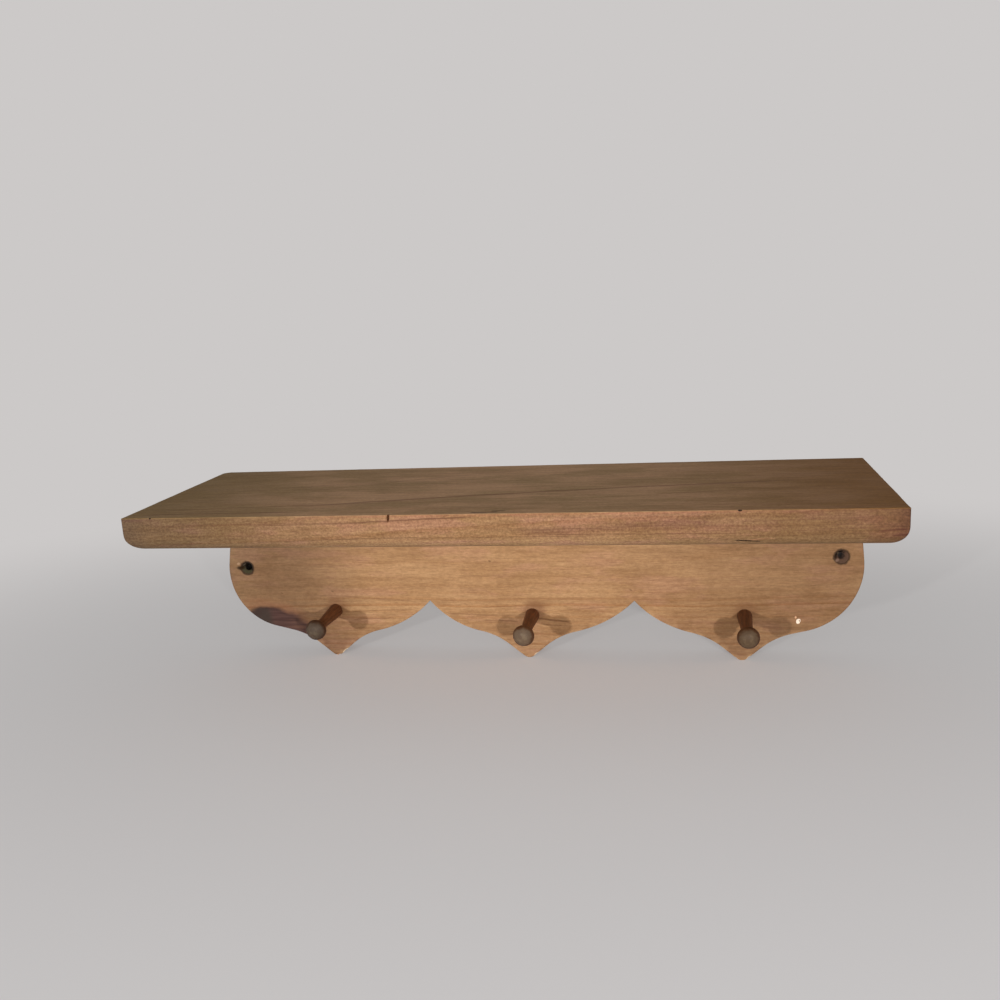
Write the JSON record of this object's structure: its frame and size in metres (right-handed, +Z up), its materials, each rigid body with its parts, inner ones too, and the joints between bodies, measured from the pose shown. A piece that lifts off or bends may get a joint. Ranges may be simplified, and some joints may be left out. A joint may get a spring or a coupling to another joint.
{
  "type": "shaker peg rail with shelf",
  "caption": "Small pine wall shelf on a scalloped back board with turned wooden pegs, to hold things on top and hang things below.",
  "frame": {"origin": "on the wall plane, midway along the shelf, at the mean height of the two wall screws", "axes": "+X along the shelf to the right as seen from the front, +Y into the wall, +Z up"},
  "size_m": [0.4064, 0.128, 0.1214],
  "materials": {
    "shelf_pine": "aged pine, waxed, darker on its top, with worn pale edges",
    "board_pine": "aged pine, waxed, open grain along the board",
    "peg_stained": "turned hardwood, dark red-brown stain, low sheen",
    "dowel_wood": "plain beech, unfinished"
  },
  "bodies": {
    "root": {"shelf_board": "shelf_pine", "back_board": "board_pine", "peg_left": "peg_stained", "peg_middle": "peg_stained", "peg_right": "peg_stained", "shelf_dowels": "dowel_wood"}
  },
  "joints": []
}
